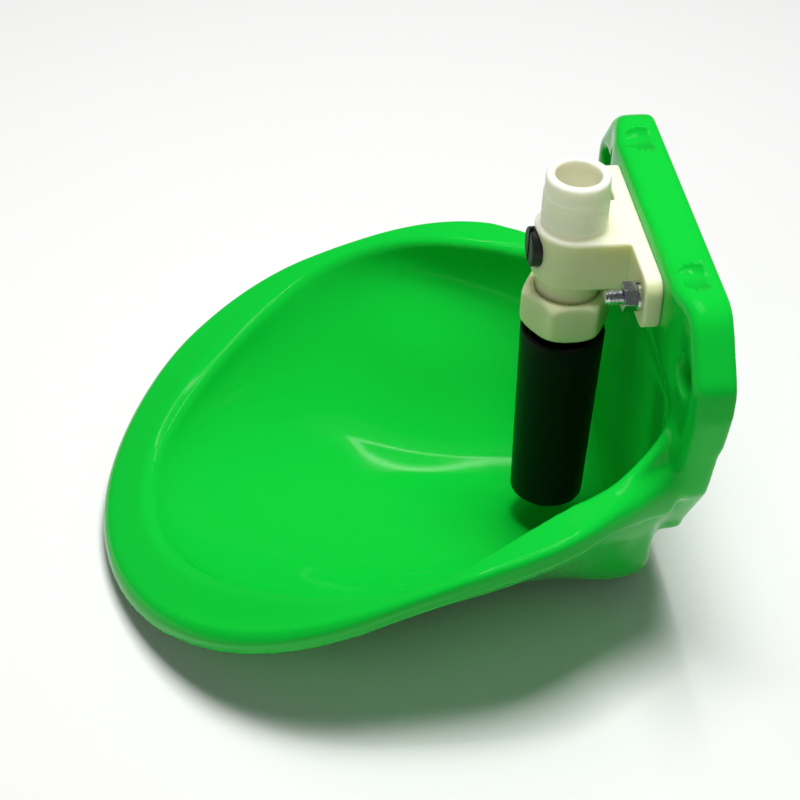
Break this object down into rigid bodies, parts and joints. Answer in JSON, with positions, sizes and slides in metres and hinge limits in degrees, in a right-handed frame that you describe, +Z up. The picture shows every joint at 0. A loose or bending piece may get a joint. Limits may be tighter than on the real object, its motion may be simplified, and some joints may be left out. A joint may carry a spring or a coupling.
{
  "type": "livestock drinking bowl",
  "caption": "Wall-mounted drinking bowl for livestock: deep moulded bowl with a ribbed back plate and a push-tube water valve with threaded inlet, union nut and flow regulator.",
  "frame": {"origin": "midway between the two wall-bolt holes, on the wall plane (the back of the plate)", "axes": "+X to the right as the animal sees it, +Y into the wall, +Z up along the valve's axis"},
  "size_m": [0.225, 0.2295, 0.174],
  "materials": {
    "bowl_plastic": "moulded, glossy",
    "valve_plastic": "moulded, satin",
    "tube_plastic": "moulded, glossy",
    "acetal": "plain",
    "black_plastic": "plain",
    "rubber": "plain",
    "brass": "turned",
    "spring_steel": "drawn wire",
    "zinc_plated": "zinc plated"
  },
  "bodies": {
    "housing": {"bowl": "bowl_plastic", "valve_body": "valve_plastic", "union_nut": "valve_plastic", "valve_seat": "acetal", "seat_o_ring": "rubber", "spring_cup": "acetal", "valve_spring": "spring_steel", "inlet_strainer": "acetal", "mounting_bolts": "zinc_plated", "back_washers": "zinc_plated", "spring_washers": "zinc_plated", "fixing_nuts": "zinc_plated"},
    "swivel": {"slip_ring": "acetal"},
    "tube": {"push_tube": "tube_plastic", "tube_collar": "tube_plastic"},
    "plunger": {"plunger": "brass", "plunger_seal": "rubber", "seal_retainer": "brass"},
    "regulator": {"regulator_plug": "black_plastic", "regulator_o_ring": "rubber"}
  },
  "joints": [
    {"name": "tube_swivel", "type": "hinge", "parent": "housing", "child": "swivel", "pos_m": [0, -0.0456, -0.0208], "axis": [0, 0, 1], "continuous": true},
    {"name": "tube_tilt", "type": "hinge", "parent": "swivel", "child": "tube", "pos_m": [0, -0.0566, -0.0204], "axis": [1, 0, 0], "range_deg": [0, 6]},
    {"name": "plunger_lift", "type": "slide", "parent": "housing", "child": "plunger", "axis": [0, 0, 1], "range_m": [0, 0.00116], "stiffness_N_per_m": 150, "springref_m": -0.003, "deforming": ["valve_spring"]},
    {"name": "regulator_turn", "type": "hinge", "parent": "housing", "child": "regulator", "pos_m": [0, -0.0456, 0.0114], "axis": [0, 1, 0], "range_deg": [0, 90]}
  ],
  "couplings": [
    {"joint": "plunger_lift", "follows": "tube_tilt", "m_per_rad": 0.011}
  ]
}
